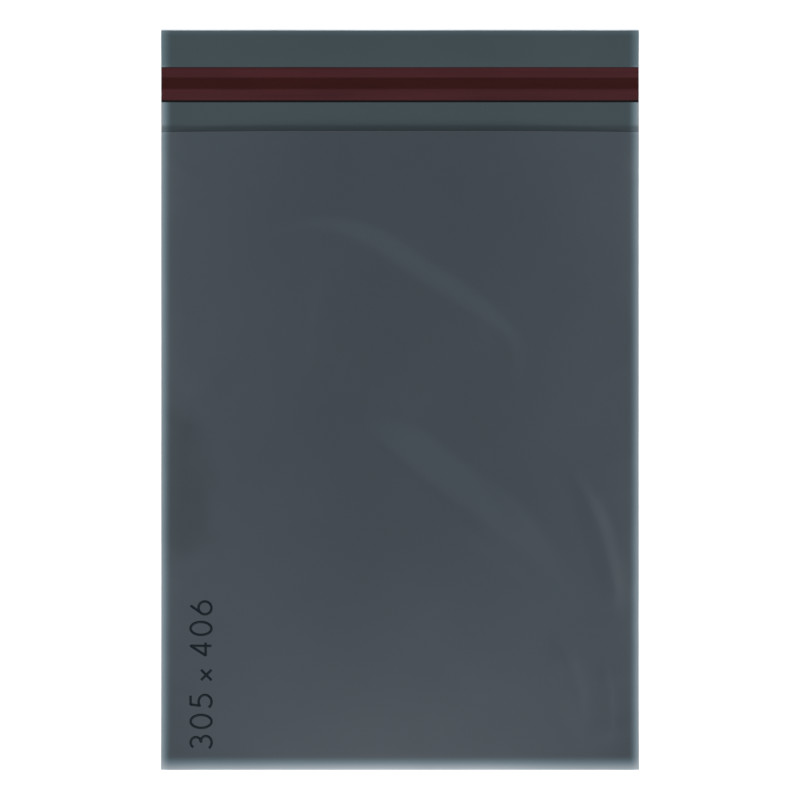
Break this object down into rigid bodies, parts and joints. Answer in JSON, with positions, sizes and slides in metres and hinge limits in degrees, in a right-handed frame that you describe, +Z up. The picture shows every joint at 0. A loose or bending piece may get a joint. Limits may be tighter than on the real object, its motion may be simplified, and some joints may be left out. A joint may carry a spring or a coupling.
{
  "type": "poly mailer bag",
  "caption": "Flat plastic film mailing bag, welded at the sides, with a closing lip that carries an adhesive stripe under a peel-off liner.",
  "frame": {"origin": "middle of the bag's length and width, on the surface that its back layer lies on", "axes": "+Z up out of the front layer, +Y from the bottom fold towards the closing lip, +X to the right as seen from the front with the lip at the top"},
  "size_m": [0.3048, 0.4718, 0.0066],
  "materials": {
    "film": "slate grey polythene film, semi-gloss, with soft creases and paler welded edges",
    "adhesive": "tacky hot-melt adhesive, smooth",
    "liner": "dark red siliconised release film, smooth, darker where it lies on the adhesive"
  },
  "bodies": {
    "root": {"bag_film": "film", "adhesive_stripe": "adhesive", "release_liner": "liner"}
  },
  "joints": []
}
